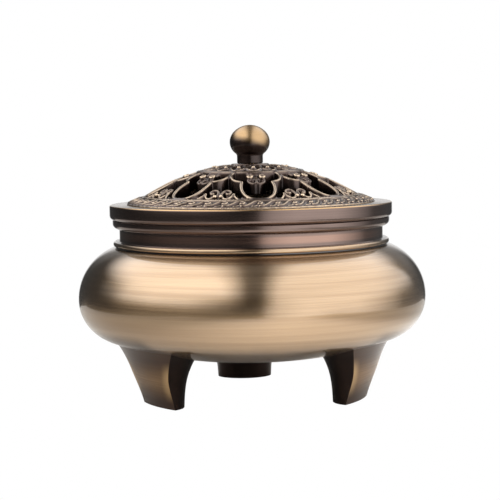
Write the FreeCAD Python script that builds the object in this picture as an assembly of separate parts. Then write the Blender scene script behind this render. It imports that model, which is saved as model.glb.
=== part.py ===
"""Tripod incense burner: a squat cast bowl on three screwed feet, a pierced domed lid with a ball
knob, and a loose heat-proof pad with a coil stand inside. Millimetres, +Z up, origin on the floor
under the axis, front at -Y."""

import math
import os

import FreeCAD
import Part

Vec = FreeCAD.Vector

# Bowl outside
BELLY_R = 55.0
BELLY_Z = 31.6
SHOULDER_ARC_R = 17.2
LOWER_ARC_R = 13.1
BASE_ARC_R = 100.0
BASE_Z = 12.7
BEAD_R = 43.7
BEAD_TOP_Z = 49.8
BEAD_ROUND = 0.5
GROOVE_R = 43.0
GROOVE_HEIGHT = 0.35
NECK_R = 41.7
LIP_R = 43.8
LIP_BOTTOM_Z = 53.7
LIP_TOP_Z = 56.6
LIP_COVE = 1.6

# Bowl inside
WALL = 2.6
MOUTH_R = 38.0
FLOOR_Z = 18.4

# Feet
FOOT_ANGLES = {"left": -60.0, "right": 60.0, "rear": 180.0}
FOOT_HALF_WIDTH = 9.1
FOOT_SET_IN = 18.6
FOOT_OUTER_R = BELLY_R - FOOT_SET_IN
FOOT_BACK_SET_IN = 1.0
FOOT_BACK_SQUASH = 0.79
FOOT_HEIGHT = 22.0
# How far the foot spreads at a few heights: height, outward, sideways
FOOT_FLARE = (
    (0.0, 0.0, 0.0),
    (5.0, 1.7, 0.4),
    (9.5, 3.4, 1.4),
    (12.5, 4.4, 2.7),
    (15.0, 5.4, 4.2),
    (17.3, 6.6, 6.0),
    (19.5, 8.2, 8.0),
    (FOOT_HEIGHT, 10.8, 10.6),
)

# Screws
SCREW_R = 2.0
THREAD_CLEARANCE = 0.02
HOLE_CLEARANCE = 0.10
FOOT_SCREW_SET_IN = 5.0
FOOT_SCREW_AT_R = FOOT_OUTER_R - FOOT_SCREW_SET_IN
FOOT_SCREW_LENGTH = 12.0
COUNTERSINK_R = 4.0
COUNTERSINK_DEPTH = 2.0
SLOT_WIDTH = 0.9
SLOT_DEPTH = 0.8
KNOB_SCREW_LENGTH = 8.0
PAN_HEAD_R = 3.8
PAN_HEAD_HEIGHT = 2.4
WASHER_R = 4.8
WASHER_THICKNESS = 0.8

# Lid rim
RIM_R = 44.7
RIM_TOP_Z = 61.2
RIM_SEAT_GAP = 0.05
RIM_EDGE_ROUND = 0.5
RIM_FOOT_ROUND = 1.3
BORDER_OUTER_R = 39.2
BORDER_RISE = 1.9
SPIGOT_CLEARANCE = 0.5
SPIGOT_WALL = 1.8
SPIGOT_DEPTH = 4.0
DOME_R = 34.6
DOME_FIT = 0.05
LEDGE_WIDTH = 1.8
LEDGE_Z = 60.2

# Lid dome
DOME_SPHERE_R = 61.0
DOME_SPHERE_Z = 12.9
DOME_WALL = 2.9
PLATE_R = 18.6
PLATE_SINK = 0.5
BAND_R = 33.6
BAND_SINK = 0.9
BOSS_R = 6.0
UNIT_COUNT = 8
FLANK_LEAN = 0.3
RIBBON_WIDTH = 1.25
ARCH_CUSP_R = 19.6
ARCH_SCALLOP = (6.3, 22.9)
ARCH_SHOULDER = (4.5, 24.7)
ARCH_SIDE = (4.9, 28.0)
ARCH_HIP = (3.5, 31.3)
ARCH_FOOT_R = 33.0
CURL_R = 1.5
CURL_SPREAD = 1.75
CURL_AT_R = 21.6
TONGUE_HALF_WIDTH = 0.9
TONGUE_TIP_R = 26.2
BEAD_PAIR_R = 1.25
BEAD_PAIR_SPREAD = 1.6
BEAD_PAIR_AT_R = 31.9
SPROUT_R = 1.4
SPROUT_AT_R = 29.2
SPROUT_STEM = 1.2

# Knob
KNOB_HALF_WIDTH = 6.35
KNOB_HALF_HEIGHT = 5.35
KNOB_SIDE_ARC_R = 4.6
KNOB_NECK_R = 4.1
KNOB_NECK_HEIGHT = 2.8
KNOB_SEAT_GAP = 0.05

# Inside pieces
PAD_CLEARANCE = 3.0
PAD_THICKNESS = 3.0
STAND_R = 13.0
STAND_PLATE = 1.6
STAND_RIM = 1.2
STAND_RIM_HEIGHT = 1.4
POST_R = 3.2
POST_HEIGHT = 7.0
SPIKE_R = 0.9
SPIKE_TIP_LENGTH = 4.0
SPIKE_LENGTH = 14.0
SPIKE_SINK = 5.0
LOOSE_GAP = 0.05

FAR = 200.0
OUTSIDE_OVERLAP = 1.0


def point(r, z):
    """A point of a turned profile."""
    return Vec(r, 0, z)


def line(a, b):
    return Part.LineSegment(a, b).toShape()


def arc(a, mid, b):
    return Part.Arc(a, mid, b).toShape()


def polyline(points):
    return [line(a, b) for a, b in zip(points, points[1:])]


def turned(edges):
    """A full turn of a closed profile about the Z axis."""
    return Part.Face(Part.Wire(edges)).revolve(Vec(0, 0, 0), Vec(0, 0, 1), 360)


def spun(shape, degrees):
    """A copy turned about the Z axis."""
    copy = shape.copy()
    copy.rotate(Vec(0, 0, 0), Vec(0, 0, 1), degrees)
    return copy


def cylinder(r, height, z, x=0.0, y=0.0):
    return Part.makeCylinder(r, height, Vec(x, y, z))


def circle_point(centre, radius, degrees):
    """A point on a profile arc: 0 degrees is outward, -90 is down."""
    turn = math.radians(degrees)
    return point(centre.x + radius * math.cos(turn), centre.z + radius * math.sin(turn))


def belly_centres():
    """Centres of the shoulder, lower and wide base arcs, and the slope where the last two meet."""
    shoulder = point(BELLY_R - SHOULDER_ARC_R, BELLY_Z)
    lower = point(BELLY_R - LOWER_ARC_R, BELLY_Z)
    drop = lower.z - BASE_Z
    slope = math.acos((BASE_ARC_R - drop) / (BASE_ARC_R - LOWER_ARC_R))
    reach = (BASE_ARC_R - LOWER_ARC_R) * math.sin(slope)
    base = point(lower.x - reach, BASE_Z + BASE_ARC_R)
    return shoulder, lower, base, math.degrees(slope)


def belly_edges(inset, top_r):
    """Bowl wall from the base's flat middle up to top_r on the shoulder, set in by a wall thickness."""
    shoulder, lower, base, slope = belly_centres()
    shoulder_r = SHOULDER_ARC_R - inset
    lower_r = LOWER_ARC_R - inset
    base_r = BASE_ARC_R - inset
    meet = -90 + slope
    top = math.degrees(math.acos((top_r - shoulder.x) / shoulder_r))
    start = circle_point(base, base_r, -90)
    join = circle_point(lower, lower_r, meet)
    side = point(BELLY_R - inset, BELLY_Z)
    end = circle_point(shoulder, shoulder_r, top)
    return [
        arc(start, circle_point(base, base_r, (meet - 90) / 2), join),
        arc(join, circle_point(lower, lower_r, meet / 2), side),
        arc(side, circle_point(shoulder, shoulder_r, top / 2), end),
    ], start, end


def bowl_outside_edges():
    """Outer profile from the axis under the base to the lip's top edge."""
    edges, start, shoulder_end = belly_edges(0.0, GROOVE_R)
    bead_bottom = shoulder_end.z + GROOVE_HEIGHT
    bead_low = point(BEAD_R, bead_bottom + BEAD_ROUND)
    bead_high = point(BEAD_R - BEAD_ROUND, BEAD_TOP_Z)
    bead_mid = point(BEAD_R, (bead_low.z + bead_high.z) / 2)
    neck_low = point(NECK_R, BEAD_TOP_Z)
    neck_high = point(NECK_R, LIP_BOTTOM_Z)
    lip_low = point(LIP_R, LIP_BOTTOM_Z + LIP_COVE)
    bulge = (LIP_R - NECK_R) * math.sqrt(0.5)
    lip_mid = point(NECK_R + bulge, LIP_BOTTOM_Z + LIP_COVE * (1 - math.sqrt(0.5)))
    lip_top = point(LIP_R, LIP_TOP_Z)
    edges = [line(point(0, BASE_Z), start)] + edges
    under = point(BEAD_R - BEAD_ROUND, bead_bottom)
    soft = BEAD_ROUND * (1 - math.sqrt(0.5))
    edges += polyline([shoulder_end, point(GROOVE_R, bead_bottom), under])
    edges += [arc(under, point(BEAD_R - soft, bead_bottom + soft), bead_low)]
    edges += polyline([bead_low, bead_mid, bead_high])
    edges += polyline([bead_high, neck_low, neck_high])
    edges += [arc(neck_high, lip_mid, lip_low), line(lip_low, lip_top)]
    return edges, lip_top


def floor_edge():
    """Where the bowl's flat floor meets the rising wall inside, and the wall's slope there."""
    _, _, base, _ = belly_centres()
    base_r = BASE_ARC_R - WALL
    slope = math.degrees(math.acos((base.z - FLOOR_Z) / base_r))
    return circle_point(base, base_r, slope - 90), slope


def bowl_inside_edges(lip_top):
    """Inner profile from the lip over the mouth and down to the flat floor on the axis."""
    edges, _, end = belly_edges(WALL, MOUTH_R)
    _, _, base, slope = belly_centres()
    base_r = BASE_ARC_R - WALL
    floor_end, floor_slope = floor_edge()
    meet = circle_point(base, base_r, slope - 90)
    between = circle_point(base, base_r, (floor_slope + slope) / 2 - 90)
    mouth_top = point(MOUTH_R, LIP_TOP_Z)
    return [
        line(lip_top, mouth_top),
        line(mouth_top, end),
        edges[2],
        edges[1],
        arc(meet, between, floor_end),
        line(floor_end, point(0, FLOOR_Z)),
        line(point(0, FLOOR_Z), point(0, BASE_Z)),
    ]


def foot_screw_place(angle):
    """Where a foot's screw stands on the floor plan. Angles run from the front (-Y) towards +X."""
    turn = math.radians(angle)
    return FOOT_SCREW_AT_R * math.sin(turn), -FOOT_SCREW_AT_R * math.cos(turn)


def make_bowl():
    outside, lip_top = bowl_outside_edges()
    bowl = turned(outside + bowl_inside_edges(lip_top))
    hole_r = SCREW_R + HOLE_CLEARANCE
    for angle in FOOT_ANGLES.values():
        x, y = foot_screw_place(angle)
        hole = cylinder(hole_r, FLOOR_Z, 0.0, x, y)
        cone_r = COUNTERSINK_R + HOLE_CLEARANCE
        cone_place = Vec(x, y, FLOOR_Z - COUNTERSINK_DEPTH)
        cone = Part.makeCone(hole_r, cone_r, COUNTERSINK_DEPTH, cone_place)
        above = cylinder(cone_r, COUNTERSINK_DEPTH, FLOOR_Z, x, y)
        bowl = bowl.cut(hole.multiFuse([cone, above]))
    return bowl


def bowl_mass():
    """The bowl's outer form as one full solid, up to the shoulder, for seating the feet."""
    outside, _, end = belly_edges(0.0, GROOVE_R)
    start = outside[0].Vertexes[0].Point
    return turned(outside + polyline([end, point(0, end.z), point(0, BASE_Z), start]))


def smooth_edge(points):
    """A smooth edge through a row of points."""
    curve = Part.BSplineCurve()
    curve.interpolate(points)
    return curve.toShape()


def foot_side_edges():
    """Outline of half the foot seen from outside, reaching a little below the floor."""
    side = smooth_edge([point(FOOT_HALF_WIDTH + row[2], row[0]) for row in FOOT_FLARE])
    low, high = side.Vertexes[0].Point, side.Vertexes[-1].Point
    below = -OUTSIDE_OVERLAP
    corners = [high, point(0, FOOT_HEIGHT), point(0, below), point(low.x, below), low]
    return [side] + polyline(corners)


def foot_blank():
    """A foot on the front axis before it is cut to the bowl: flared block, rounded back, hollow face."""
    half = Part.Face(Part.Wire(foot_side_edges())).extrude(Vec(0, -BELLY_R, 0))
    front = half.fuse(half.mirror(Vec(0, 0, 0), Vec(1, 0, 0)))
    squash = FreeCAD.Matrix()
    squash.scale(1.0, FOOT_BACK_SQUASH, 1.0)
    back = turned(foot_side_edges()).transformGeometry(squash)
    block = front.fuse(back).removeSplitter()
    block.translate(Vec(0, FOOT_BACK_SET_IN - FOOT_OUTER_R, 0))
    face = smooth_edge([point(FOOT_OUTER_R + row[1], row[0]) for row in FOOT_FLARE])
    low, high = face.Vertexes[0].Point, face.Vertexes[-1].Point
    limit = turned([face] + polyline([high, point(0, FOOT_HEIGHT), point(0, 0), low]))
    return block.common(limit)


def make_feet(mass):
    """Three feet, each cut to sit under the bowl and bored for its screw."""
    blank = foot_blank().cut(mass)
    bore_top = FLOOR_Z
    bore_depth = FOOT_SCREW_LENGTH + OUTSIDE_OVERLAP
    bore = cylinder(SCREW_R + THREAD_CLEARANCE, bore_depth, bore_top - bore_depth, 0.0, -FOOT_SCREW_AT_R)
    blank = max(blank.cut(bore).Solids, key=lambda solid: solid.Volume)
    return {f"foot_{name}": spun(blank, angle) for name, angle in FOOT_ANGLES.items()}


def make_foot_screws():
    """Countersunk slotted screws, driven down through the bowl's floor."""
    head_place = Vec(0, 0, FLOOR_Z - COUNTERSINK_DEPTH)
    head = Part.makeCone(SCREW_R, COUNTERSINK_R, COUNTERSINK_DEPTH, head_place)
    shank = cylinder(SCREW_R, FOOT_SCREW_LENGTH, FLOOR_Z - FOOT_SCREW_LENGTH)
    slot_place = Vec(-COUNTERSINK_R, -SLOT_WIDTH / 2, FLOOR_Z - SLOT_DEPTH)
    slot = Part.makeBox(2 * COUNTERSINK_R, SLOT_WIDTH, SLOT_DEPTH, slot_place)
    screw = head.fuse(shank).cut(slot).removeSplitter()
    screw.translate(Vec(0, -FOOT_SCREW_AT_R, 0))
    return {f"foot_screw_{name}": spun(screw, angle) for name, angle in FOOT_ANGLES.items()}


def dome_z(r, sink=0.0):
    """Height of the dome's surface at a radius, set in by sink."""
    return DOME_SPHERE_Z + math.sqrt((DOME_SPHERE_R - sink) ** 2 - r * r)


def dome_arc(r_from, r_to, sink):
    radii = (r_from, (r_from + r_to) / 2, r_to)
    return arc(*[point(r, dome_z(r, sink)) for r in radii])


def border_top(r):
    """Height of the rim's sloping border between the flat flange and the dome."""
    share = (BORDER_OUTER_R - r) / (BORDER_OUTER_R - DOME_R)
    return RIM_TOP_Z + BORDER_RISE * share


def make_lid_rim():
    """Flange ring with a sloping border, a ledge for the dome and a spigot that drops into the mouth."""
    seat_z = LIP_TOP_Z + RIM_SEAT_GAP
    spigot_outer = MOUTH_R - SPIGOT_CLEARANCE
    spigot_inner = spigot_outer - SPIGOT_WALL
    spigot_z = seat_z - SPIGOT_DEPTH
    bore_r = DOME_R + DOME_FIT
    ledge_r = bore_r - LEDGE_WIDTH
    soft = math.sqrt(0.5)
    edge_in = point(RIM_R - RIM_EDGE_ROUND, RIM_TOP_Z)
    edge_out = point(RIM_R, RIM_TOP_Z - RIM_EDGE_ROUND)
    edge_mid = point(
        RIM_R - RIM_EDGE_ROUND * (1 - soft), RIM_TOP_Z - RIM_EDGE_ROUND * (1 - soft)
    )
    foot_out = point(RIM_R, seat_z + RIM_FOOT_ROUND)
    foot_in = point(RIM_R - RIM_FOOT_ROUND, seat_z)
    foot_mid = point(RIM_R - RIM_FOOT_ROUND * (1 - soft), seat_z + RIM_FOOT_ROUND * (1 - soft))
    edges = polyline(
        [
            point(bore_r, LEDGE_Z),
            point(bore_r, border_top(bore_r)),
            point(BORDER_OUTER_R, RIM_TOP_Z),
            edge_in,
        ]
    )
    edges += [arc(edge_in, edge_mid, edge_out), line(edge_out, foot_out)]
    edges += [arc(foot_out, foot_mid, foot_in)]
    edges += polyline(
        [
            foot_in,
            point(spigot_outer, seat_z),
            point(spigot_outer, spigot_z),
            point(spigot_inner, spigot_z),
            point(spigot_inner, seat_z),
            point(ledge_r, seat_z),
            point(ledge_r, LEDGE_Z),
            point(bore_r, LEDGE_Z),
        ]
    )
    return turned(edges)


def flat_point(x, r):
    """A point on the lid's plan, measured out along the front axis."""
    return Vec(x, -r, 0)


def upright(wire):
    """A plan outline drawn up through the whole lid."""
    return Part.Face(wire).extrude(Vec(0, 0, FAR))


def arch_points(inward):
    """Half of one arch on the plan, cusp to foot, set in from the ribbon's centreline."""
    half_turn = math.pi / UNIT_COUNT
    cusp = (ARCH_CUSP_R * math.sin(half_turn), ARCH_CUSP_R * math.cos(half_turn))
    centreline = [cusp, ARCH_SCALLOP, ARCH_SHOULDER, ARCH_SIDE, ARCH_HIP, (0.0, ARCH_FOOT_R)]
    before = [cusp] + centreline[:-1]
    after = centreline[1:] + [(-ARCH_HIP[0], ARCH_HIP[1])]
    moved = []
    for here, back, ahead in zip(centreline, before, after):
        run, rise = ahead[0] - back[0], ahead[1] - back[1]
        length = math.hypot(run, rise)
        moved.append((here[0] - inward * rise / length, here[1] + inward * run / length))
    return moved


def arch_edges(points, side):
    """Scallop and flank of half an arch, on one side of the front axis."""
    places = [flat_point(side * x, r) for x, r in points]
    flank = Part.BSplineCurve()
    start = Vec(side * FLANK_LEAN, -1, 0)
    flank.interpolate(Points=places[2:], InitialTangent=start, FinalTangent=Vec(-side, 0, 0))
    return [arc(*places[:3]), flank.toShape()]


def inner_window():
    """Plan of the opening inside one arch, up to the raised line round the lid's middle plate."""
    points = arch_points(RIBBON_WIDTH / 2)
    x, r = points[0]
    closing = arc(flat_point(x, r), flat_point(0, math.hypot(x, r)), flat_point(-x, r))
    edges = arch_edges(points, 1) + arch_edges(points, -1) + [closing]
    return upright(Part.Wire(Part.__sortEdges__(edges)))


def outer_window():
    """Plan of the opening between two arches, down to the lid's outer band."""
    half_turn = math.pi / UNIT_COUNT
    half_degrees = math.degrees(half_turn)
    points = arch_points(-RIBBON_WIDTH / 2)
    meeting = half_turn + math.atan2(points[0][0] - points[1][0], points[1][1] - points[0][1])
    tip_r = ARCH_CUSP_R + RIBBON_WIDTH / 2 / math.sin(meeting)
    points[0] = (tip_r * math.sin(half_turn), tip_r * math.cos(half_turn))
    near = [spun(edge, -half_degrees) for edge in arch_edges(points, 1)]
    far = [spun(edge, half_degrees) for edge in arch_edges(points, -1)]
    foot_r = points[-1][1]
    foot_x, foot_y = foot_r * math.sin(half_turn), foot_r * math.cos(half_turn)
    closing = arc(flat_point(-foot_x, foot_y), flat_point(0, foot_r), flat_point(foot_x, foot_y))
    outline = Part.Wire(Part.__sortEdges__(near + far + [closing]))
    return upright(outline).common(cylinder(BAND_R - RIBBON_WIDTH / 2, FAR, 0.0))


def curl_ornament():
    """Plan of the twin curls with a tongue, hanging from the middle plate into an arch."""
    root = PLATE_R - OUTSIDE_OVERLAP
    tongue = Part.makeBox(
        2 * TONGUE_HALF_WIDTH, TONGUE_TIP_R - root, FAR, Vec(-TONGUE_HALF_WIDTH, -TONGUE_TIP_R, 0)
    )
    tip = cylinder(TONGUE_HALF_WIDTH, FAR, 0.0, 0.0, -TONGUE_TIP_R)
    curls = [cylinder(CURL_R, FAR, 0.0, side * CURL_SPREAD, -CURL_AT_R) for side in (-1, 1)]
    stems = []
    for side in (-1, 1):
        corner = Vec(side * CURL_SPREAD - TONGUE_HALF_WIDTH, -CURL_AT_R, 0)
        stems.append(Part.makeBox(2 * TONGUE_HALF_WIDTH, CURL_AT_R - root, FAR, corner))
    return tongue.multiFuse([tip] + curls + stems)


def bead_ornament():
    """Plan of the three-lobed sprout that stands up from the outer band between two arches."""
    foot = BAND_R + OUTSIDE_OVERLAP
    spread = (-BEAD_PAIR_SPREAD, BEAD_PAIR_SPREAD)
    beads = [cylinder(BEAD_PAIR_R, FAR, 0.0, x, -BEAD_PAIR_AT_R) for x in spread]
    bud = cylinder(SPROUT_R, FAR, 0.0, 0.0, -SPROUT_AT_R)
    stem = Part.makeBox(2 * SPROUT_STEM, foot - SPROUT_AT_R, FAR, Vec(-SPROUT_STEM, -foot, 0))
    return stem.multiFuse(beads + [bud])


def dome_blank():
    """The dome before piercing: flat boss, sunk middle plate, proud openwork zone and sunk outer band."""
    boss_z = boss_top_z()
    seat = point(DOME_R, LEDGE_Z)
    inner_seat = point(DOME_R - LEDGE_WIDTH, LEDGE_Z)
    under_z = boss_z - DOME_WALL
    edges = [line(point(0, boss_z), point(BOSS_R, boss_z))]
    edges += polyline([point(BOSS_R, boss_z), point(BOSS_R, dome_z(BOSS_R, PLATE_SINK))])
    edges += [dome_arc(BOSS_R, PLATE_R, PLATE_SINK)]
    edges += [line(point(PLATE_R, dome_z(PLATE_R, PLATE_SINK)), point(PLATE_R, dome_z(PLATE_R)))]
    edges += [dome_arc(PLATE_R, BAND_R, 0.0)]
    edges += polyline(
        [
            point(BAND_R, dome_z(BAND_R)),
            point(BAND_R, dome_z(BAND_R, BAND_SINK)),
            point(DOME_R, dome_z(DOME_R, BAND_SINK)),
            seat,
            inner_seat,
            point(DOME_R - LEDGE_WIDTH, dome_z(DOME_R - LEDGE_WIDTH, DOME_WALL)),
        ]
    )
    edges += [dome_arc(DOME_R - LEDGE_WIDTH, BOSS_R, DOME_WALL)]
    edges += polyline(
        [
            point(BOSS_R, dome_z(BOSS_R, DOME_WALL)),
            point(BOSS_R, under_z),
            point(0, under_z),
            point(0, boss_z),
        ]
    )
    return turned(edges)


def boss_top_z():
    """Height of the flat under the knob, level with the top of the dome at the boss's edge."""
    return dome_z(BOSS_R)


def make_lid_dome():
    step = 360.0 / UNIT_COUNT
    inside = inner_window().cut(curl_ornament())
    between = outer_window().cut(bead_ornament())
    piercings = [spun(inside, n * step) for n in range(UNIT_COUNT)]
    piercings += [spun(between, (n + 0.5) * step) for n in range(UNIT_COUNT)]
    screw_hole = cylinder(SCREW_R + HOLE_CLEARANCE, FAR, 0.0)
    return dome_blank().cut(Part.makeCompound(piercings + [screw_hole]))


def knob_base_z():
    return boss_top_z() + KNOB_SEAT_GAP


def make_knob():
    """Flattened ball on a short neck, with a blind hole for the screw from below."""
    base = knob_base_z()
    side_at_r = KNOB_HALF_WIDTH - KNOB_SIDE_ARC_R
    neck_turn = math.acos((KNOB_NECK_R - side_at_r) / KNOB_SIDE_ARC_R)
    neck_top = point(KNOB_NECK_R, base + KNOB_NECK_HEIGHT)
    side_z = neck_top.z + KNOB_SIDE_ARC_R * math.sin(neck_turn)
    rise = KNOB_HALF_HEIGHT - KNOB_SIDE_ARC_R
    drop = (side_at_r**2 - rise**2) / (2 * rise)
    cap = point(0, side_z - drop)
    cap_r = KNOB_HALF_HEIGHT + drop
    meet = math.degrees(math.atan2(drop, side_at_r))
    shoulder = circle_point(cap, cap_r, meet)
    top = point(0, cap.z + cap_r)
    edges = polyline([top, point(0, base), point(KNOB_NECK_R, base), neck_top])
    edges += [arc(neck_top, point(KNOB_HALF_WIDTH, side_z), shoulder)]
    edges += [arc(shoulder, circle_point(cap, cap_r, (meet + 90) / 2), top)]
    hole_depth = KNOB_SCREW_LENGTH - DOME_WALL
    return turned(edges).cut(cylinder(SCREW_R + THREAD_CLEARANCE, hole_depth, base))


def washer_top_z():
    return boss_top_z() - DOME_WALL - KNOB_SEAT_GAP


def make_knob_washer():
    bottom = washer_top_z() - WASHER_THICKNESS
    ring = cylinder(WASHER_R, WASHER_THICKNESS, bottom)
    return ring.cut(cylinder(SCREW_R + HOLE_CLEARANCE, WASHER_THICKNESS, bottom))


def make_knob_screw():
    """Pan-head slotted screw, driven up through the washer and the dome into the knob."""
    head_top = washer_top_z() - WASHER_THICKNESS
    head_bottom = head_top - PAN_HEAD_HEIGHT
    head = cylinder(PAN_HEAD_R, PAN_HEAD_HEIGHT, head_bottom)
    slot = Part.makeBox(
        2 * PAN_HEAD_R, SLOT_WIDTH, SLOT_DEPTH, Vec(-PAN_HEAD_R, -SLOT_WIDTH / 2, head_bottom)
    )
    shank = cylinder(SCREW_R, KNOB_SCREW_LENGTH, head_top)
    return head.fuse(shank).cut(slot).removeSplitter()


def pad_bottom_z():
    return FLOOR_Z + LOOSE_GAP


def stand_bottom_z():
    return pad_bottom_z() + PAD_THICKNESS + LOOSE_GAP


def make_fire_pad():
    """Round mat that lies on the bowl's flat floor."""
    floor_end, _ = floor_edge()
    return cylinder(floor_end.x - PAD_CLEARANCE, PAD_THICKNESS, pad_bottom_z())


def make_stand_base():
    """Round tray with a low rim and a bored post in its middle."""
    z = stand_bottom_z()
    tray_z = z + STAND_PLATE
    edges = polyline(
        [
            point(0, z),
            point(STAND_R, z),
            point(STAND_R, tray_z + STAND_RIM_HEIGHT),
            point(STAND_R - STAND_RIM, tray_z + STAND_RIM_HEIGHT),
            point(STAND_R - STAND_RIM, tray_z),
            point(POST_R, tray_z),
            point(POST_R, tray_z + POST_HEIGHT),
            point(0, tray_z + POST_HEIGHT),
            point(0, z),
        ]
    )
    post_top = tray_z + POST_HEIGHT
    return turned(edges).cut(cylinder(SPIKE_R + THREAD_CLEARANCE, SPIKE_SINK, post_top - SPIKE_SINK))


def make_stand_spike():
    """Needle pressed into the post, which carries the incense coil by its middle."""
    bottom = stand_bottom_z() + STAND_PLATE + POST_HEIGHT - SPIKE_SINK
    straight = SPIKE_LENGTH - SPIKE_TIP_LENGTH
    tip = Part.makeCone(SPIKE_R, 0.0, SPIKE_TIP_LENGTH, Vec(0, 0, bottom + straight))
    return cylinder(SPIKE_R, straight, bottom).fuse(tip).removeSplitter()


def make_parts():
    parts = {"bowl": make_bowl()}
    parts.update(make_feet(bowl_mass()))
    parts.update(make_foot_screws())
    parts["lid_rim"] = make_lid_rim()
    parts["lid_dome"] = make_lid_dome()
    parts["knob"] = make_knob()
    parts["knob_washer"] = make_knob_washer()
    parts["knob_screw"] = make_knob_screw()
    parts["fire_pad"] = make_fire_pad()
    parts["stand_base"] = make_stand_base()
    parts["stand_spike"] = make_stand_spike()
    return parts


def main():
    os.makedirs("parts", exist_ok=True)
    for name, shape in make_parts().items():
        solids = shape.Solids
        print(f"{name}: {len(solids)} solid, valid {shape.isValid()}, {shape.Volume:.1f} mm3")
        solids[0].exportStep(f"parts/{name}.step")


main()
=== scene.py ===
"""Looks of the tripod incense burner: turned skins, a cast openwork dome, finishes, light and camera."""

import math

import bmesh
import bpy
from mathutils import Matrix, Vector


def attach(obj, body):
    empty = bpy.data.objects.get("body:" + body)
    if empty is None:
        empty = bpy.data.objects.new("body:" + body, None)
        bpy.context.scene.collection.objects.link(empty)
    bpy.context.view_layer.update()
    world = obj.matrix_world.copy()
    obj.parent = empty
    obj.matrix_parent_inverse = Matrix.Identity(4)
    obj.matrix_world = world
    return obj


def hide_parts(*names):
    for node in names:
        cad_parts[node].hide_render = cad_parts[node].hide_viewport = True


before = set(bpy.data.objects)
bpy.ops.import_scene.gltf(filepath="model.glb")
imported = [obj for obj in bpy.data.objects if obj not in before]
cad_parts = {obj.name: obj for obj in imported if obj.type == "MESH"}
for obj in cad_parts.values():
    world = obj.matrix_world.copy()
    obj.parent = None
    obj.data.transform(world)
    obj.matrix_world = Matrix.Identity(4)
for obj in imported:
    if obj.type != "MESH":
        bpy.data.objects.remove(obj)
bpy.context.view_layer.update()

MM = 0.001
TURN_STEPS = 192
SHARP_ANGLE = 32
UNIT_COUNT = 8
WAVE_COUNT = 44

# Bowl, in millimetres
BELLY_R = 55.0
BELLY_Z = 31.6
SHOULDER_ARC_R = 17.2
LOWER_ARC_R = 13.1
BASE_ARC_R = 100.0
BASE_Z = 12.7
FLOOR_Z = 18.2
WALL = 2.6
GROOVE_R = 43.0
BEAD_R = 43.7
BEAD_BOTTOM_Z = 48.35
BEAD_TOP_Z = 49.8
NECK_R = 41.7
LIP_R = 43.8
LIP_BOTTOM_Z = 53.7
LIP_COVE = 1.6
LIP_TOP_Z = 56.6
MOUTH_R = 38.0

# Lid rim, in millimetres
RIM_R = 44.7
RIM_TOP_Z = 61.2
RIM_BOTTOM_Z = 56.65
RIM_EDGE_R = 0.5
RIM_UNDER_R = 1.3
LEDGE_Z = 60.2
LEDGE_OUTER_R = 34.65
LEDGE_INNER_R = 32.85
SPIGOT_R = 37.5
SPIGOT_INNER_R = 35.7
SPIGOT_BOTTOM_Z = 52.65
BORDER_OUTER_R = 39.2
BORDER_RISE = 1.9

# Dome, in millimetres
SPHERE_R = 61.0
SPHERE_Z = 12.9
DOME_R = 34.6
DOME_WALL = 2.9
PLATE_R = 16.6
BOSS_R = 6.0
KNOB_HOLE_R = 2.15
WALL_BOTTOM_Z = 61.8
VOXEL = 0.27

# Knob, in millimetres and degrees
KNOB_FOOT_Z = 73.66
KNOB_NECK_R = 4.1
KNOB_Z = 80.4
KNOB_HALF_WIDTH = 6.35
KNOB_SIDE_R = 4.6
KNOB_CROWN_R = 7.017
KNOB_CROWN_Z = 78.733
KNOB_NECK_ANGLE = -54.8
KNOB_CROWN_ANGLE = 43.6

# Studio, in metres and watts
FLOOR_HALF_SIZE = 0.2
FLOOR_DROP = 0.0002
LAMP_PLACE = (0.0, -0.1, 0.9)
LAMP_SIZE = 1.2
LAMP_POWER = 4.6

# Brightness of the tent round the object, as (place, value). Going round, 0.25 is left, 0.5 the
# camera's side and 0.75 right; across, 0 is left and 1 right.
TENT_TOP = [(0.0, 1.8), (0.2, 2.2), (0.45, 2.4), (0.55, 1.8), (0.8, 1.9), (1.0, 1.8)]
TENT_HIGH_LEFT = [
    (0.0, 0.3), (0.05, 0.2), (0.075, 0.06), (0.15, 0.06), (0.185, 0.3), (0.205, 0.6),
    (0.24, 1.6), (0.3, 2.0), (0.38, 1.6), (0.42, 0.9), (0.45, 0.4), (0.485, 0.15),
]
TENT_HIGH_RIGHT = [
    (0.514, 0.2), (0.53, 0.9), (0.545, 1.3), (0.59, 1.75), (0.67, 1.9),
    (0.766, 1.8), (0.868, 1.1), (0.884, 0.2), (1.0, 0.3),
]
TENT_LOW_LEFT = [
    (0.0, 0.9), (0.03, 0.8), (0.045, 0.05), (0.2, 0.06),
    (0.3, 0.1), (0.42, 0.1), (0.49, 0.06),
]
TENT_LOW_RIGHT = [
    (0.514, 0.1), (0.527, 0.9), (0.545, 1.4), (0.6, 1.9), (0.7, 1.8),
    (0.766, 0.9), (0.82, 0.2), (0.95, 0.05), (0.97, 0.8), (1.0, 0.9),
]
TENT_GAP = [(0.0, 1.0), (0.36, 1.0), (0.43, 0.5), (0.475, 0.1), (0.545, 0.1), (0.58, 0.45), (0.63, 1.0)]

# Camera, in millimetres and degrees, fitted to the photo
CAMERA_AZIMUTH = -4.84
CAMERA_AWAY = 456.2
CAMERA_HEIGHT = 83.0
CAMERA_PITCH = 4.633
CAMERA_ROLL = 0.9
CAMERA_LENS = 103.48
CAMERA_SHIFT = -0.0028


def srgb(red, green, blue):
    """A screen colour as linear values with full alpha."""
    values = [channel / 255 for channel in (red, green, blue)]
    return [v / 12.92 if v <= 0.04045 else ((v + 0.055) / 1.055) ** 2.4 for v in values] + [1.0]


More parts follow.
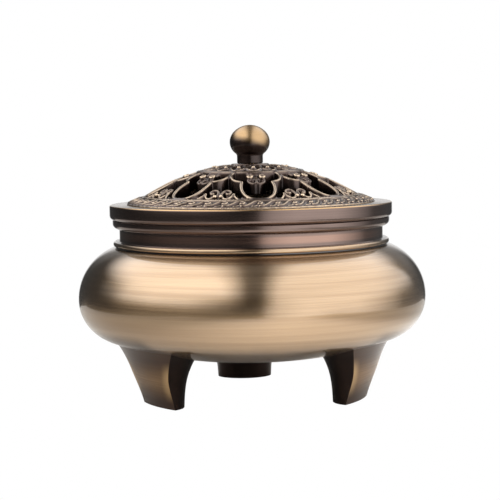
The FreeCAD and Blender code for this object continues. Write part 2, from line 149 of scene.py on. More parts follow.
class Graph:
    """A node tree and short ways to add nodes to it."""

    def __init__(self, tree):
        self.tree = tree

    def add(self, kind):
        return self.tree.nodes.new(kind)

    def plug(self, value, socket):
        """Links an output to a socket, or sets the socket to a plain value."""
        if isinstance(value, bpy.types.NodeSocket):
            self.tree.links.new(value, socket)
        else:
            socket.default_value = value

    def math(self, operation, first, second=None):
        step = self.add("ShaderNodeMath")
        step.operation = operation
        self.plug(first, step.inputs[0])
        if second is not None:
            self.plug(second, step.inputs[1])
        return step.outputs[0]

    def vector(self, operation, first, second=None, scale=None):
        step = self.add("ShaderNodeVectorMath")
        step.operation = operation
        self.plug(first, step.inputs[0])
        if second is not None:
            self.plug(second, step.inputs[1])
        if scale is not None:
            self.plug(scale, step.inputs["Scale"])
        plain = operation in ("LENGTH", "DOT_PRODUCT", "DISTANCE")
        return step.outputs["Value"] if plain else step.outputs[0]

    def joined(self, x, y, z):
        step = self.add("ShaderNodeCombineXYZ")
        for value, socket in zip((x, y, z), step.inputs):
            self.plug(value, socket)
        return step.outputs[0]

    def ease(self, value, low, high):
        """0 below low, 1 above high, smooth between; falls instead if low is above high."""
        step = self.add("ShaderNodeMapRange")
        step.interpolation_type = "SMOOTHSTEP"
        self.plug(value, step.inputs["Value"])
        rising = low < high
        self.plug(min(low, high), step.inputs["From Min"])
        self.plug(max(low, high), step.inputs["From Max"])
        self.plug(0.0 if rising else 1.0, step.inputs["To Min"])
        self.plug(1.0 if rising else 0.0, step.inputs["To Max"])
        return step.outputs["Result"]

    def span(self, value, low, high, soft):
        """1 between low and high, fading over soft on each side."""
        rise = self.ease(value, low - soft, low + soft)
        fall = self.ease(value, high + soft, high - soft)
        return self.math("MULTIPLY", rise, fall)

    def noise(self, vector, scale=1.0, detail=3.0):
        step = self.add("ShaderNodeTexNoise")
        self.plug(vector, step.inputs["Vector"])
        self.plug(scale, step.inputs["Scale"])
        self.plug(detail, step.inputs["Detail"])
        return step.outputs["Fac"]

    def split(self, vector):
        """The three parts of a vector."""
        step = self.add("ShaderNodeSeparateXYZ")
        self.plug(vector, step.inputs[0])
        return step.outputs

    def mix(self, share, first, second, way="MIX"):
        step = self.add("ShaderNodeMix")
        step.data_type = "RGBA"
        step.blend_type = way
        self.plug(share, step.inputs["Factor"])
        self.plug(first, step.inputs["A"])
        self.plug(second, step.inputs["B"])
        return step.outputs["Result"]

    def between(self, share, low, high):
        """A plain number from low to high."""
        return self.math("ADD", self.math("MULTIPLY", share, high - low), low)

    def both(self, first, second):
        return self.math("MULTIPLY", first, second)


class Finish(Graph):
    """A material whose pattern is laid out in millimetres on the object."""

    def __init__(self, name):
        self.material = bpy.data.materials.new(name)
        self.material.use_nodes = True
        super().__init__(self.material.node_tree)
        self.surface = self.tree.nodes["Principled BSDF"]
        place = self.add("ShaderNodeTexCoord").outputs["Object"]
        self.place = self.vector("SCALE", place, scale=1 / MM)
        self.x, self.y, self.z = self.split(self.place)
        self.r = self.vector("LENGTH", self.joined(self.x, self.y, 0.0))
        self.turn = self.math("ARCTAN2", self.x, self.math("MULTIPLY", self.y, -1.0))

    def set(self, **values):
        """Sets surface inputs by name, with underscores for spaces."""
        for name, value in values.items():
            self.plug(value, self.surface.inputs[name.replace("_", " ")])

    def bump(self, height, strength, distance):
        step = self.add("ShaderNodeBump")
        self.plug(height, step.inputs["Height"])
        self.plug(strength, step.inputs["Strength"])
        self.plug(distance, step.inputs["Distance"])
        self.plug(step.outputs[0], self.surface.inputs["Normal"])

    def brushed(self, amount):
        """Highlights spread across brush lines that run round the axis."""
        tangent = self.add("ShaderNodeTangent")
        tangent.direction_type = "RADIAL"
        tangent.axis = "Z"
        self.plug(tangent.outputs[0], self.surface.inputs["Tangent"])
        self.set(Anisotropic=amount, Anisotropic_Rotation=0.25)

    def off_foot(self):
        """Distance sideways, in mm, from the middle of the nearest foot."""
        third = 2 * math.pi / 3
        within = self.math("FLOORED_MODULO", self.math("ADD", self.turn, third), third)
        sideways = self.math("SINE", self.math("SUBTRACT", within, third / 2))
        return self.math("ABSOLUTE", self.math("MULTIPLY", self.r, sideways))

    def streaks(self, along, up, outward):
        """Noise drawn out round the axis, as a brush leaves it."""
        turned = self.math("MULTIPLY", self.turn, along)
        raised = self.math("MULTIPLY", self.z, up)
        spread = self.math("MULTIPLY", self.r, outward)
        return self.noise(self.joined(turned, raised, spread), detail=4.0)


def brushed_brass():
    finish = Finish("brushed brass")
    fine = finish.streaks(1.5, 5.0, 5.0)
    broad = finish.ease(finish.streaks(0.7, 0.8, 0.8), 0.35, 0.7)
    warm = finish.mix(fine, srgb(158, 129, 95), srgb(198, 168, 132))
    streaks_and_shade = finish.mix(finish.both(broad, 0.5), warm, srgb(152, 120, 85))
    # Painted shade: the belly is darkened towards its underside and round where the feet meet it, below 25
    # mm.
    under = finish.ease(finish.z, BASE_Z + 4.1, BASE_Z + 0.7)
    foot_join_shade = finish.both(finish.ease(finish.off_foot(), 19.0, 12.0), finish.ease(finish.z, 25.0, 20.5))
    shade = finish.math("MAXIMUM", under, finish.both(foot_join_shade, 0.8))
    streaks_and_shade = finish.mix(shade, streaks_and_shade, srgb(56, 42, 34))
    groove = finish.span(finish.z, BEAD_BOTTOM_Z - 0.45, BEAD_BOTTOM_Z + 0.05, 0.1)
    finish.set(Base_Color=finish.mix(groove, streaks_and_shade, srgb(40, 28, 22)), Metallic=1.0)
    finish.set(Roughness=finish.between(fine, 0.17, 0.3))
    finish.set(Coat_Weight=finish.between(shade, 1.0, 0.15), Coat_Roughness=0.08, Coat_IOR=1.75)
    finish.brushed(0.88)
    finish.bump(fine, 0.3, 0.00004)
    return finish.material


def dark_bronze():
    finish = Finish("dark bronze")
    fine = finish.streaks(1.5, 5.0, 5.0)
    tone = finish.mix(fine, srgb(96, 79, 73), srgb(126, 107, 99))
    edge = finish.ease(finish.r, RIM_R - 0.8, RIM_R - 0.4)
    rubbed = finish.both(finish.ease(finish.z, RIM_TOP_Z - 0.4, RIM_TOP_Z - 0.1), edge)
    flat = finish.ease(finish.z, RIM_TOP_Z - 0.1, RIM_TOP_Z - 0.02)
    top = finish.both(flat, finish.ease(finish.r, RIM_R - 0.3, RIM_R - 0.7))
    tone = finish.mix(top, tone, srgb(158, 132, 106))
    # Painted reflection: a lighter streaky band round the middle of the neck.
    neck = finish.span(finish.z, BEAD_TOP_Z + 1.1, LIP_BOTTOM_Z - 0.7, 0.5)
    tone = finish.mix(finish.both(neck, finish.between(fine, 0.5, 1.0)), tone, srgb(156, 124, 109))
    finish.set(Base_Color=finish.mix(rubbed, tone, srgb(206, 166, 112)), Metallic=1.0)
    finish.set(Roughness=finish.between(fine, 0.14, 0.26))
    finish.set(Coat_Weight=0.5, Coat_Roughness=0.05)
    finish.brushed(0.3)
    finish.bump(fine, 0.1, 0.00004)
    return finish.material


def inside_patina():
    finish = Finish("inside patina")
    cloud = finish.noise(finish.place, 0.12, 5.0)
    finish.set(Base_Color=finish.mix(cloud, srgb(34, 27, 22), srgb(66, 52, 40)), Metallic=0.8)
    finish.set(Roughness=finish.between(cloud, 0.5, 0.75))
    return finish.material


def foot_bronze():
    finish = Finish("foot bronze")
    geometry = finish.add("ShaderNodeNewGeometry")
    outward = finish.joined(finish.x, finish.y, 0.0)
    facing = finish.vector("DOT_PRODUCT", geometry.outputs["Normal"], finish.vector("NORMALIZE", outward))
    front = finish.ease(facing, 0.35, 0.75)
    fine = finish.streaks(3.0, 2.2, 0.4)
    flare = finish.both(finish.both(finish.z, finish.z), 0.0187)
    edge = finish.ease(finish.math("SUBTRACT", finish.off_foot(), flare), 5.4, 8.9)
    edge = finish.both(edge, finish.both(front, finish.span(finish.z, 4.5, 13.0, 3.0)))
    # Painted highlight at mid-height of the foot's outer face, with painted shade at its top and bottom.
    middle = finish.span(finish.z, 5.5, 11.5, 4.0)
    face = finish.mix(middle, srgb(66, 49, 39), srgb(158, 125, 86))
    face = finish.mix(finish.both(fine, 0.7), face, srgb(86, 62, 44))
    face = finish.mix(finish.both(edge, 0.7), face, srgb(206, 172, 124))
    # Painted shade: faces that do not face outward are painted dark.
    finish.set(Base_Color=finish.mix(front, srgb(46, 36, 32), face), Metallic=1.0)
    finish.set(Roughness=finish.between(fine, 0.3, 0.44))
    finish.set(Coat_Weight=finish.between(front, 0.1, 0.35), Coat_Roughness=0.12)
    finish.bump(fine, 0.15, 0.0001)
    return finish.material


def cast_openwork():
    finish = Finish("cast openwork")
    centre = Vector((0.0, 0.0, SPHERE_Z))
    height = finish.math("SUBTRACT", finish.vector("DISTANCE", finish.place, centre), SPHERE_R)
    cloud = finish.noise(finish.place, 0.9, 4.0)
    geometry = finish.add("ShaderNodeNewGeometry")
    ridge = finish.ease(geometry.outputs["Pointiness"], 0.505, 0.57)
    hollow = finish.ease(geometry.outputs["Pointiness"], 0.5, 0.43)
    level = finish.ease(height, -0.9, 0.0)
    border = finish.ease(finish.r, DOME_R, DOME_R + 0.3)
    level = finish.math("MAXIMUM", level, border)
    rubbed = finish.both(ridge, finish.between(level, 0.12, 1.0))
    tone = finish.mix(cloud, srgb(62, 49, 45), srgb(92, 75, 68))
    sunk = finish.both(finish.ease(height, -0.7, -3.0), finish.math("SUBTRACT", 1.0, border))
    tone = finish.mix(sunk, tone, srgb(44, 33, 30))
    tone = finish.mix(finish.both(hollow, 0.85), tone, srgb(26, 19, 18))
    finish.set(Base_Color=finish.mix(rubbed, tone, srgb(236, 211, 180)), Metallic=1.0)
    finish.set(Roughness=finish.between(cloud, 0.24, 0.38))
    finish.set(Coat_Weight=0.5, Coat_Roughness=0.08)
    return finish.material


def knob_brass():
    finish = Finish("knob brass")
    fine = finish.streaks(1.5, 6.0, 6.0)
    tone = finish.mix(fine, srgb(154, 124, 88), srgb(186, 154, 112))
    # Painted shade: the lower half of the ball is painted darker, reaching higher on the left.
    tilted = finish.math("ADD", finish.z, finish.both(finish.x, 0.25))
    low = finish.ease(tilted, KNOB_Z + 1.6, KNOB_Z - 1.0)
    finish.set(Base_Color=finish.mix(low, tone, srgb(58, 46, 42)), Metallic=1.0)
    finish.set(Roughness=finish.between(fine, 0.28, 0.4))
    finish.set(Coat_Weight=0.45, Coat_Roughness=0.1)
    finish.brushed(0.6)
    finish.bump(fine, 0.12, 0.00004)
    return finish.material


def turned_brass(name, dark, light):
    finish = Finish(name)
    cloud = finish.noise(finish.place, 0.8, 3.0)
    finish.set(Base_Color=finish.mix(cloud, dark, light), Metallic=1.0)
    finish.set(Roughness=finish.between(cloud, 0.25, 0.38))
    return finish.material


def pad_fibre():
    finish = Finish("pad fibre")
    fleck = finish.noise(finish.place, 1.6, 6.0)
    finish.set(Base_Color=finish.mix(fleck, srgb(206, 200, 186), srgb(238, 234, 224)), Roughness=0.95)
    finish.bump(fleck, 0.6, 0.0003)
    return finish.material


def arc_points(centre, radius, start, end, count):
    """Points on a profile arc; degrees, 0 outward and 90 up."""
    turns = [math.radians(start + (end - start) * n / count) for n in range(count + 1)]
    return [(centre[0] + radius * math.cos(t), centre[1] + radius * math.sin(t)) for t in turns]


def turned_skin(name, profile, materials, zones):
    """A full turn of a profile, smooth but with its corners kept. Zones give each stretch its material."""
    bm = bmesh.new()
    rings = []
    for step in range(TURN_STEPS):
        turn = 2 * math.pi * step / TURN_STEPS
        places = [(r * math.sin(turn) * MM, -r * math.cos(turn) * MM, z * MM) for r, z in profile]
        rings.append([bm.verts.new(place) for place in places])
    for step in range(TURN_STEPS):
        here, there = rings[step], rings[(step + 1) % TURN_STEPS]
        for n in range(len(profile) - 1):
            corners = [here[n], there[n], there[n + 1], here[n + 1]]
            face = bm.faces.new(corners)
            face.material_index = zones[n]
            face.smooth = True
    bmesh.ops.remove_doubles(bm, verts=bm.verts, dist=0.001 * MM)
    bmesh.ops.recalc_face_normals(bm, faces=bm.faces)
    mesh = bpy.data.meshes.new(name)
    bm.to_mesh(mesh)
    bm.free()
    for material in materials:
        mesh.materials.append(material)
    mesh.set_sharp_from_angle(angle=math.radians(SHARP_ANGLE))
    piece = bpy.data.objects.new(name, mesh)
    bpy.context.collection.objects.link(piece)
    return piece


def arc_meet(inner, outer):
    """Degrees at which an arc of the outer radius has come in to the inner distance."""
    return math.degrees(math.acos(inner / outer))


def bowl_profile():
    """Bowl section from the axis below, round the outside, over the lip and down the inside."""
    lower = (BELLY_R - LOWER_ARC_R, BELLY_Z)
    shoulder = (BELLY_R - SHOULDER_ARC_R, BELLY_Z)
    apart = BASE_ARC_R - LOWER_ARC_R
    base_centre_z = BASE_Z + BASE_ARC_R
    slope = arc_meet(base_centre_z - BELLY_Z, apart)
    base = (lower[0] - apart * math.sin(math.radians(slope)), base_centre_z)
    belly = arc_points(base, BASE_ARC_R, -90, -90 + slope, 14)
    belly += arc_points(lower, LOWER_ARC_R, -90 + slope, 0, 24)[1:]
    groove_meet = arc_meet(GROOVE_R - shoulder[0], SHOULDER_ARC_R)
    belly += arc_points(shoulder, SHOULDER_ARC_R, 0, groove_meet, 30)[1:]
    bead = [(GROOVE_R, BEAD_BOTTOM_Z), (BEAD_R - 0.5, BEAD_BOTTOM_Z)]
    bead += arc_points((BEAD_R - 0.5, BEAD_BOTTOM_Z + 0.5), 0.5, -90, 0, 4)[1:]
    bead += arc_points((BEAD_R - 0.7, BEAD_TOP_Z - 0.7), 0.7, 0, 90, 5)
    neck = [(NECK_R + 0.25, BEAD_TOP_Z + 0.02), (NECK_R + 0.02, BEAD_TOP_Z + 0.15)]
    neck += [(NECK_R, BEAD_TOP_Z + 0.4), (NECK_R, LIP_BOTTOM_Z)]
    reach = LIP_R - NECK_R
    turns = (0.4, 0.8, 1.2, math.pi / 2)
    lip = [(NECK_R + reach * math.sin(t), LIP_BOTTOM_Z + LIP_COVE * (1 - math.cos(t))) for t in turns]
    lip += [(LIP_R, LIP_TOP_Z - 0.25), (LIP_R - 0.2, LIP_TOP_Z - 0.02), (LIP_R - 0.5, LIP_TOP_Z)]
    inner_r = SHOULDER_ARC_R - WALL
    inside = [(MOUTH_R, LIP_TOP_Z)]
    inside += arc_points(shoulder, inner_r, arc_meet(MOUTH_R - shoulder[0], inner_r), 0, 20)
    inside += arc_points(lower, LOWER_ARC_R - WALL, 0, -90 + slope, 14)[1:]
    floor_r = BASE_ARC_R - WALL
    floor_slope = arc_meet(base_centre_z - FLOOR_Z, floor_r)
    inside += arc_points(base, floor_r, -90 + slope, -90 + floor_slope, 6)[1:]
    inside += [(0.0, FLOOR_Z)]
    outside = [(0.0, BASE_Z)] + belly + bead
    profile = outside + neck + lip + inside
    zones = [0] * (len(outside) - 1) + [1] * (len(neck) + len(lip)) + [2] * len(inside)
    return profile, zones


def rim_profile():
    """Lid rim section, round from the dome's ledge over the flange to the spigot."""
    flange = [(LEDGE_OUTER_R, LEDGE_Z), (LEDGE_OUTER_R, border_z(LEDGE_OUTER_R))]
    flange += [(BORDER_OUTER_R, RIM_TOP_Z), (RIM_R - RIM_EDGE_R, RIM_TOP_Z)]
    flange += arc_points((RIM_R - RIM_EDGE_R, RIM_TOP_Z - RIM_EDGE_R), RIM_EDGE_R, 90, 0, 5)[1:]
    flange += arc_points((RIM_R - RIM_UNDER_R, RIM_BOTTOM_Z + RIM_UNDER_R), RIM_UNDER_R, 0, -90, 6)
    spigot = [(SPIGOT_R, RIM_BOTTOM_Z), (SPIGOT_R, SPIGOT_BOTTOM_Z)]
    spigot += [(SPIGOT_INNER_R, SPIGOT_BOTTOM_Z), (SPIGOT_INNER_R, RIM_BOTTOM_Z)]
    spigot += [(LEDGE_INNER_R, RIM_BOTTOM_Z), (LEDGE_INNER_R, LEDGE_Z), (LEDGE_OUTER_R, LEDGE_Z)]
    return flange + spigot, [0] * (len(flange) - 1) + [1] * len(spigot)


def knob_profile():
    """Knob section: flat foot, short neck with a soft cove, flattened ball."""
    foot = [(0.0, KNOB_FOOT_Z), (KNOB_NECK_R - 0.2, KNOB_FOOT_Z), (KNOB_NECK_R, KNOB_FOOT_Z + 0.2)]
    neck = [(KNOB_NECK_R, KNOB_Z - 4.4), (KNOB_NECK_R + 0.07, KNOB_Z - 4.1)]
    side = (KNOB_HALF_WIDTH - KNOB_SIDE_R, KNOB_Z)
    ball = arc_points(side, KNOB_SIDE_R, KNOB_NECK_ANGLE, KNOB_CROWN_ANGLE, 24)
    ball += arc_points((0.0, KNOB_CROWN_Z), KNOB_CROWN_R, KNOB_CROWN_ANGLE, 90, 14)[1:]
    return foot + neck + ball


def sphere_z(r, lift=0.0):
    return SPHERE_Z + math.sqrt((SPHERE_R + lift) ** 2 - r * r)


def border_z(r):
    """Height of the rim's sloping border."""
    return RIM_TOP_Z + BORDER_RISE * (BORDER_OUTER_R - r) / (BORDER_OUTER_R - DOME_R)


def spline_value(t, p, q, r, s):
    """A smooth value from q at 0 to r at 1, with p before and s after."""
    bend = 2 * p - 5 * q + 4 * r - s
    twist = 3 * q - p - 3 * r + s
    return 0.5 * (2 * q + (r - p) * t + bend * t * t + twist * t**3)


def smooth_path(points, steps=6):
    """A smooth row of points through the given ones."""
    ends = [points[0]] + list(points) + [points[-1]]
    path = []
    for a, b, c, d in zip(ends, ends[1:], ends[2:], ends[3:]):
        for n in range(steps):
            path.append(tuple(spline_value(n / steps, *values) for values in zip(a, b, c, d)))
    return path + [tuple(points[-1])]


def add_wall(bm, path, half_width, top, depth, turn):
    """An upright ribbon along a plan path (sideways, outward), turned into place. Its crown is rounded."""
    spin = Matrix.Rotation(turn, 3, "Z")
    rings = []
    for n, (x, r) in enumerate(path):
        back, ahead = path[max(n - 1, 0)], path[min(n + 1, len(path) - 1)]
        along = Vector((ahead[0] - back[0], ahead[1] - back[1]))
        along = along.normalized() if along.length > 1e-9 else Vector((1.0, 0.0))
        side = Vector((-along.y, along.x)) * half_width
        high = top(math.hypot(x, r))
        section = [(1.0, min(depth, high - WALL_BOTTOM_Z)), (1.0, 0.3), (0.55, 0.0)]
        ring = []
        for share, drop in section + [(-share, drop) for share, drop in reversed(section)]:
            place = Vector((x + side.x * share, -(r + side.y * share), high - drop))
            ring.append(bm.verts.new(spin @ place))
        rings.append(ring)
    for here, there in zip(rings, rings[1:]):
        for n in range(len(here)):
            bm.faces.new([here[n - 1], here[n], there[n], there[n - 1]])
    bm.faces.new(rings[0])
    bm.faces.new(list(reversed(rings[-1])))


def add_bead(bm, x, r, z, radius, turn):
    """A small ball on the lid, given on the plan."""
    place = Matrix.Rotation(turn, 4, "Z") @ Matrix.Translation((x, -r, z))
    bmesh.ops.create_icosphere(bm, subdivisions=2, radius=radius, matrix=place)


def add_ring(bm, profile, steps=160):
    """A full turn of a closed section."""
    rings = []
    for n in range(steps):
        turn = 2 * math.pi * n / steps
        rings.append([bm.verts.new((r * math.sin(turn), -r * math.cos(turn), z)) for r, z in profile])
    count = len(profile)
    for n in range(steps):
        here, there = rings[n], rings[(n + 1) % steps]
        for k in range(count):
            bm.faces.new([here[k], there[k], there[(k + 1) % count], here[(k + 1) % count]])


def mirrored(points):
    return [(-x, r) for x, r in points]


def at_lift(lift):
    """Height of the dome's surface at a radius, raised or sunk by lift."""
    return lambda r: sphere_z(r, lift)


def add_arch_unit(bm, turn):
    """One arch of the openwork: scallops from the plate, a deep loop and the twin curls in it."""
    scallop = [(6.4, 15.4), (7.2, 17.4), (7.4, 19.4), (7.1, 21.3), (6.3, 22.6), (5.4, 23.3), (4.6, 23.8)]
    flank = [(4.6, 23.8), (4.9, 25.2), (5.05, 27.0), (4.9, 29.0)]
    flank += [(4.2, 31.0), (2.8, 32.5), (1.3, 33.05), (0.0, 33.15)]
    ear = arc_points((1.9, 20.3), 0.75, 90, -270, 12)
    cheek = [(2.5, 20.8), (2.3, 22.0), (1.5, 22.9), (0.5, 23.3)]
    for sided in (list, mirrored):
        add_wall(bm, sided(smooth_path(scallop)), 0.5, at_lift(-0.1), 4.6, turn)
        add_wall(bm, sided(smooth_path(flank)), 0.52, at_lift(-0.05), 4.6, turn)
        add_wall(bm, sided(ear), 0.36, at_lift(0.0), 5.0, turn)
        add_wall(bm, sided([(1.9, 16.6), (1.9, 18.2), (1.9, 19.6)]), 0.55, at_lift(-0.6), 5.0, turn)
        add_wall(bm, sided(smooth_path(cheek)), 0.45, at_lift(-1.0), 4.0, turn)
    add_wall(bm, [(0.0, 16.6), (0.0, 19.0), (0.0, 21.4)], 0.8, at_lift(-1.1), 5.0, turn)
    add_wall(bm, [(0.0, 21.4), (0.0, 22.6), (0.0, 23.6)], 0.42, at_lift(-0.7), 4.0, turn)


def add_spandrel_unit(bm, turn):
    """What stands between two arches: a brace along the band, a pair of beads and two hooks."""
    brace = [(7.6, 32.9), (6.2, 32.2), (5.0, 31.2), (4.35, 30.2)]
    brace += [(4.1, 31.4), (3.2, 32.6), (2.1, 32.6), (1.6, 32.1)]
    hook = [(0.6, 31.2), (0.6, 29.6), (1.2, 28.4), (2.4, 28.2), (3.1, 29.0), (2.7, 29.9), (1.8, 29.7)]
    for sided in (list, mirrored):
        add_wall(bm, sided(smooth_path(brace)), 0.34, at_lift(-0.2), 2.4, turn)
        add_wall(bm, sided(smooth_path(hook)), 0.42, at_lift(-0.5), 2.6, turn)
    for side in (-1, 1):
        add_bead(bm, side * 0.95, 32.0, sphere_z(32.0, -0.35), 0.66, turn)


def add_plate(bm):
    """Middle plate with its raised edge and petals, the flat under the knob, and the edge's deep wall."""
    flat = sphere_z(BOSS_R)
    top = [(BOSS_R - 0.2, flat), (BOSS_R, flat - 0.2)]
    top += [(r, sphere_z(r, -0.6)) for r in (6.3, 9.0, 12.0, 14.0, 15.7)]
    edge = [(PLATE_R - 0.5, -0.05), (PLATE_R + 0.3, -0.05), (PLATE_R + 0.6, -0.5), (PLATE_R + 0.6, -6.0)]
    edge += [(PLATE_R - 0.4, -6.0), (PLATE_R - 0.4, -DOME_WALL)]
    top += [(r, sphere_z(r, lift)) for r, lift in edge]
    under = [(r, sphere_z(r, -DOME_WALL)) for r in (13.0, 10.0, BOSS_R)]
    under += [(BOSS_R - 0.2, flat - DOME_WALL), (KNOB_HOLE_R, flat - DOME_WALL)]
    add_ring(bm, [(KNOB_HOLE_R, flat)] + top + under)
    petal = smooth_path([(0.4, 7.6), (1.4, 9.0), (2.1, 11.0), (1.9, 13.0), (0.9, 14.6), (0.0, 15.1)])
    for n in range(2 * UNIT_COUNT):
        turn = math.pi * n / UNIT_COUNT
        for sided in (list, mirrored):
            add_wall(bm, sided(petal), 0.32, at_lift(-0.1), 1.2, turn)
        add_bead(bm, 0.0, 11.6, sphere_z(11.6, -0.45), 0.75, turn)


def add_band(bm):
    """Outer band of the dome, seated in the rim, with its sunk ground and raised line."""
    seat_z = LEDGE_Z + 0.05
    crown = [(34.55, -0.3), (34.3, 0.1), (33.8, 0.1), (33.5, -0.9), (30.8, -1.3), (30.8, -DOME_WALL)]
    add_ring(bm, [(32.7, seat_z), (34.55, seat_z)] + [(r, sphere_z(r, lift)) for r, lift in crown])


def add_wave(bm, turn):
    """One running wave of the border, with its curled crest and an inner line."""
    pitch = 2 * math.pi / WAVE_COUNT

    def laid(points):
        return [(r * math.sin(t * pitch), r * math.cos(t * pitch)) for t, r in smooth_path(points)]

    crest = [(-0.15, 38.5), (0.15, 38.1), (0.4, 37.0), (0.6, 35.8)]
    crest += [(0.85, 35.5), (1.05, 36.2), (0.98, 37.0), (0.8, 36.9)]
    inner = [(0.45, 38.5), (0.68, 38.2), (0.82, 37.7)]
    add_wall(bm, laid(crest), 0.4, lambda r: border_z(r) + 0.75, 1.1, turn)
    add_wall(bm, laid(inner), 0.3, lambda r: border_z(r) + 0.6, 1.0, turn)


def add_border_ground(bm):
    """Thin ground of the wave border, lying on the rim's slope, with its outer line."""
    section = [(34.7, -0.3), (39.1, -0.3), (39.3, 0.2), (39.0, 0.4), (38.7, 0.15), (34.7, 0.15)]
    add_ring(bm, [(r, border_z(r) + rise) for r, rise in section], steps=240)


def cast_piece(name, bm, voxel, material):
    """Overlapping forms run together into one casting with softened edges, in metres."""
    bmesh.ops.recalc_face_normals(bm, faces=bm.faces)
    rough = bpy.data.meshes.new(name + " rough")
    bm.to_mesh(rough)
    bm.free()
    block = bpy.data.objects.new(name + " rough", rough)
    bpy.context.collection.objects.link(block)
    remesh = block.modifiers.new("cast", "REMESH")
    remesh.mode = "VOXEL"
    remesh.voxel_size = voxel
    soften = block.modifiers.new("soften", "SMOOTH")
    soften.factor = 0.5
    soften.iterations = 2
    seen = block.evaluated_get(bpy.context.evaluated_depsgraph_get())
    mesh = bpy.data.meshes.new_from_object(seen)
    mesh.name = name
    mesh.transform(Matrix.Scale(MM, 4))
    mesh.shade_smooth()
    mesh.materials.clear()
    mesh.materials.append(material)
    bpy.data.objects.remove(block)
    bpy.data.meshes.remove(rough)
    piece = bpy.data.objects.new(name, mesh)
    bpy.context.collection.objects.link(piece)
    return piece


def build_dome(material):
    bm = bmesh.new()
    add_plate(bm)
    add_band(bm)
    for n in range(UNIT_COUNT):
        turn = 2 * math.pi * n / UNIT_COUNT
        add_arch_unit(bm, turn)
        add_spandrel_unit(bm, turn + math.pi / UNIT_COUNT)
    return cast_piece("openwork_dome", bm, VOXEL, material)


def build_border(material):
    bm = bmesh.new()
    add_border_ground(bm)
    for n in range(WAVE_COUNT):
        add_wave(bm, 2 * math.pi * n / WAVE_COUNT)
    return cast_piece("wave_border", bm, VOXEL * 0.8, material)


def paint(node, material):
    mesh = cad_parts[node].data
    mesh.materials.clear()
    mesh.materials.append(material)


def build_object():
    """Skins for the turned pieces, castings for the lid's ornament, and finishes for the rest."""
    brass, bronze, patina = brushed_brass(), dark_bronze(), inside_patina()
    casting = cast_openwork()
    profile, zones = bowl_profile()
    bowl = turned_skin("bowl_skin", profile, [brass, bronze, patina], zones)
    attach(bowl, "bowl")
    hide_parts("bowl")
    profile, zones = rim_profile()
    rim = turned_skin("lid_rim_skin", profile, [bronze, patina], zones)
    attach(rim, "lid")
    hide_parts("lid_rim")
    profile = knob_profile()
    knob = turned_skin("knob_skin", profile, [knob_brass()], [0] * len(profile))
    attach(knob, "knob")
    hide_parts("knob")
    dome = build_dome(casting)
    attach(dome, "lid")
    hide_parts("lid_dome")
    border = build_border(casting)
    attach(border, "lid")
    feet = foot_bronze()
    screws = turned_brass("screw brass", srgb(190, 152, 92), srgb(222, 188, 126))
    for side in ("left", "right", "rear"):
        paint(f"foot_{side}", feet)
        paint(f"foot_screw_{side}", screws)
    paint("knob_screw", screws)
    paint("knob_washer", screws)
    paint("fire_pad", pad_fibre())
    stand = turned_brass("stand brass", srgb(186, 148, 88), srgb(216, 180, 118))
    paint("stand_base", stand)
    paint("stand_spike", stand)


def white_to_camera(graph, lit, white, output):
    """Shows plain white to the camera and the lit surface to every other ray."""
    graph.plug((1.0, 1.0, 1.0, 1.0), white.inputs["Color"])
    graph.plug(1.0, white.inputs["Strength"])
    choose = graph.add("ShaderNodeMixShader")
    graph.plug(graph.add("ShaderNodeLightPath").outputs["Is Camera Ray"], choose.inputs[0])
    graph.plug(lit, choose.inputs[1])
    graph.plug(white.outputs[0], choose.inputs[2])
    graph.plug(choose.outputs[0], output.inputs["Surface"])


def build_floor():
    """Pale floor, greyer to the left and far right for the metal to mirror; white to the camera."""
    bm = bmesh.new()
    bmesh.ops.create_grid(bm, x_segments=1, y_segments=1, size=FLOOR_HALF_SIZE)
    mesh = bpy.data.meshes.new("floor")
    bm.to_mesh(mesh)
    bm.free()
    floor = bpy.data.objects.new("floor", mesh)
    floor.location.z = -FLOOR_DROP
    bpy.context.collection.objects.link(floor)
    finish = Finish("floor")
    grain = finish.noise(finish.place, 0.01, 2.0)
    pale = finish.mix(grain, srgb(240, 238, 234), srgb(248, 246, 242))
    pale = finish.mix(finish.ease(finish.x, 20.0, -100.0), pale, srgb(156, 153, 148))
    pale = finish.mix(finish.ease(finish.x, 55.0, 110.0), pale, srgb(160, 157, 152))
    finish.set(Base_Color=pale, Roughness=0.9)
    output = finish.tree.nodes["Material Output"]
    white_to_camera(finish, finish.surface.outputs[0], finish.add("ShaderNodeEmission"), output)
    mesh.materials.append(finish.material)


def tent_ramp(graph, share, stops):
    """Brightness of the tent at a share of the way round or across it."""
    step = graph.add("ShaderNodeValToRGB")
    ramp = step.color_ramp
    while len(ramp.elements) < len(stops):
        ramp.elements.new(0.5)
    for element, (where, value) in zip(ramp.elements, stops):
        element.position = where
        element.color = (value, value, value, 1.0)
    graph.plug(share, step.inputs["Fac"])
    return step.outputs["Color"]


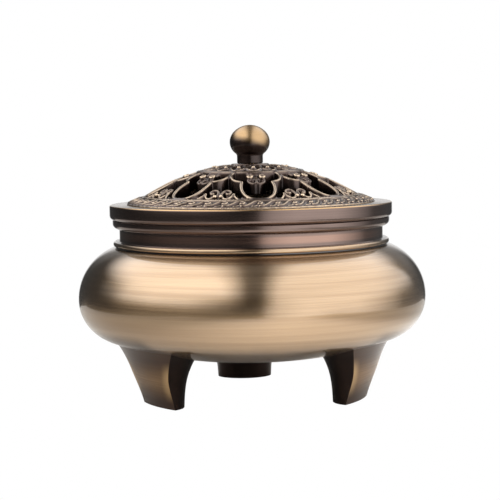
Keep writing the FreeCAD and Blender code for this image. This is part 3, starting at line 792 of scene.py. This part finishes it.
def build_world():
    """A white tent with bright sides and dark gaps at the camera and behind; plain white to the camera."""
    world = bpy.data.worlds.new("studio")
    world.use_nodes = True
    bpy.context.scene.world = world
    world.node_tree.nodes.clear()
    graph = Graph(world.node_tree)
    level = graph.add("ShaderNodeVectorRotate")
    level.rotation_type = "Z_AXIS"
    graph.plug(-math.radians(CAMERA_AZIMUTH), level.inputs["Angle"])
    graph.plug(graph.add("ShaderNodeTexCoord").outputs["Generated"], level.inputs["Vector"])
    x, y, z = graph.split(level.outputs[0])
    turn = graph.math("ARCTAN2", x, graph.both(y, -1.0))
    share = graph.math("ADD", graph.both(turn, 0.5 / math.pi), 0.5)
    across = graph.math("ADD", graph.both(x, 0.5), 0.5)
    low = tent_ramp(graph, share, TENT_LOW_LEFT + TENT_LOW_RIGHT)
    high = tent_ramp(graph, share, TENT_HIGH_LEFT + TENT_HIGH_RIGHT)
    light = graph.mix(graph.ease(z, 0.05, 0.32), low, high)
    light = graph.mix(graph.ease(z, 0.36, 0.66), light, tent_ramp(graph, share, TENT_TOP))
    light = graph.mix(graph.ease(z, 0.1, 0.3), light, tent_ramp(graph, across, TENT_GAP), "MULTIPLY")
    lit = graph.add("ShaderNodeBackground")
    graph.plug(light, lit.inputs["Color"])
    output = graph.add("ShaderNodeOutputWorld")
    white_to_camera(graph, lit.outputs[0], graph.add("ShaderNodeBackground"), output)


def build_lamp():
    """A square lamp overhead, facing the object."""
    data = bpy.data.lights.new("overhead", "AREA")
    data.shape = "SQUARE"
    data.size = LAMP_SIZE
    data.energy = LAMP_POWER
    lamp = bpy.data.objects.new("overhead", data)
    lamp.location = LAMP_PLACE
    lamp.rotation_euler = (-Vector(LAMP_PLACE)).to_track_quat("-Z", "Y").to_euler()
    lamp.visible_camera = False
    lamp.visible_glossy = False
    bpy.context.collection.objects.link(lamp)


def build_camera():
    turn = math.radians(CAMERA_AZIMUTH)
    place = Vector((math.sin(turn) * CAMERA_AWAY, -math.cos(turn) * CAMERA_AWAY, CAMERA_HEIGHT)) * MM
    data = bpy.data.cameras.new("camera")
    data.sensor_width = 36.0
    data.lens = CAMERA_LENS
    data.shift_x = CAMERA_SHIFT
    camera = bpy.data.objects.new("camera", data)
    heading = Matrix.Rotation(turn, 4, "Z")
    tilt = Matrix.Rotation(math.radians(90 - CAMERA_PITCH), 4, "X")
    roll = Matrix.Rotation(-math.radians(CAMERA_ROLL), 4, "Z")
    camera.matrix_world = Matrix.Translation(place) @ heading @ tilt @ roll
    bpy.context.collection.objects.link(camera)
    bpy.context.scene.camera = camera


def build_studio():
    build_floor()
    build_world()
    build_lamp()
    build_camera()
    bpy.context.scene.view_settings.view_transform = "Standard"


build_object()
build_studio()
